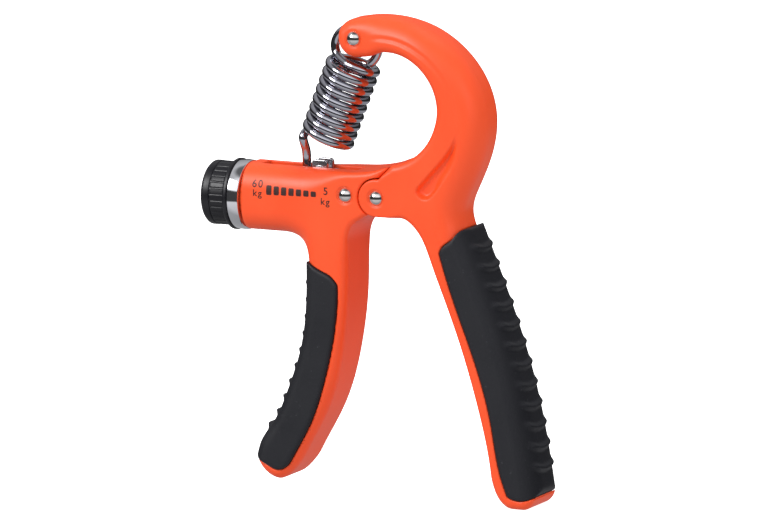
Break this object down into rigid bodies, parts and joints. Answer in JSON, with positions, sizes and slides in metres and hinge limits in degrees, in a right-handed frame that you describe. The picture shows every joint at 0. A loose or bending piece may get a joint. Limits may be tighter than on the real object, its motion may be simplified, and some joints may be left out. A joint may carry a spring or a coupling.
{
  "type": "hand grip strengthener",
  "caption": "Adjustable hand exerciser with two rubber-covered handles on one pivot, an extension spring and a knob that sets the resistance.",
  "frame": {"origin": "middle of the object's width and thickness, at the lowest point of the rear handle", "axes": "+Z from the handles' ends up to the hook; +X from the adjusting knob towards the rear arm; Y is the thickness"},
  "size_m": [0.115, 0.0224, 0.1507],
  "materials": {
    "orange_plastic": "moulded, satin, fine texture",
    "black_rubber": "matte overmoulded rubber",
    "black_plastic": "glossy moulded",
    "chrome_trim": "bright plated",
    "spring_steel": "polished nickel-plated wire",
    "rivet_steel": "polished nickel-plated",
    "zinc_steel": "zinc-plated",
    "nylon": "natural nylon"
  },
  "bodies": {
    "rear": {"rear_arm": "orange_plastic", "rear_grip": "black_rubber", "hook_rivet_pin": "rivet_steel", "hook_rivet_tube": "rivet_steel", "pivot_rivet_pin": "rivet_steel", "pivot_rivet_tube": "rivet_steel", "pivot_washers": "nylon"},
    "front": {"front_arm": "orange_plastic", "front_grip": "black_rubber", "pivot_bush": "zinc_steel", "bearing_rivet_pin": "rivet_steel", "bearing_rivet_tube": "rivet_steel", "end_bearing": "zinc_steel", "barrel_plug": "zinc_steel"},
    "adjuster": {"knob": "black_plastic", "knob_cap": "black_plastic", "trim_ring": "chrome_trim", "thrust_washer": "zinc_steel", "lead_screw": "zinc_steel", "retaining_clip": "zinc_steel"},
    "nut": {"carriage_nut": "zinc_steel", "nut_pin": "zinc_steel"},
    "spring_top": {"spring_loop": "spring_steel"},
    "spring_guide": {"hook_sleeve": "zinc_steel"},
    "spring_middle": {"spring_coil": "spring_steel"},
    "spring_bottom": {"spring_hook": "spring_steel"}
  },
  "joints": [
    {"name": "grip_hinge", "type": "hinge", "parent": "rear", "child": "front", "pos_m": [0.0029, 0, 0.0945], "axis": [0, -1, 0], "range_deg": [0, 38], "stiffness_Nm_per_rad": 3.9, "springref_deg": -17.19},
    {"name": "knob_turn", "type": "hinge", "parent": "front", "child": "adjuster", "pos_m": [-0.0471, 0, 0.0909], "axis": [-1, 0, 0], "range_deg": [-4680, 0]},
    {"name": "nut_slide", "type": "slide", "parent": "front", "child": "nut", "axis": [1, 0, 0], "range_m": [-0.013, 0]},
    {"name": "spring_swing_squeeze", "type": "hinge", "parent": "rear", "child": "spring_top", "pos_m": [-0.0061, 0, 0.1434], "axis": [0, -1, 0], "range_deg": [0, 5.39]},
    {"name": "spring_swing_setting", "type": "hinge", "parent": "spring_top", "child": "spring_guide", "pos_m": [-0.0061, 0, 0.1434], "axis": [0, -1, 0], "range_deg": [-14.24, 0], "deforming": ["spring_loop"]},
    {"name": "spring_stretch_squeeze", "type": "slide", "parent": "spring_guide", "child": "spring_middle", "axis": [-0.2972, 0, -0.9548], "range_m": [0, 0.01428], "deforming": ["spring_coil"]},
    {"name": "spring_stretch_setting", "type": "slide", "parent": "spring_middle", "child": "spring_bottom", "axis": [-0.2972, 0, -0.9548], "range_m": [0, 0.00542], "deforming": ["spring_hook"]}
  ],
  "couplings": [
    {"joint": "nut_slide", "follows": "knob_turn", "m_per_rad": 0.00015915},
    {"joint": "spring_swing_squeeze", "follows": "grip_hinge", "ratio": 0.14158},
    {"joint": "spring_swing_setting", "follows": "knob_turn", "ratio": 0.0030406},
    {"joint": "spring_stretch_squeeze", "follows": "grip_hinge", "m_per_rad": 0.021516},
    {"joint": "spring_stretch_setting", "follows": "knob_turn", "m_per_rad": -0.000066233}
  ]
}
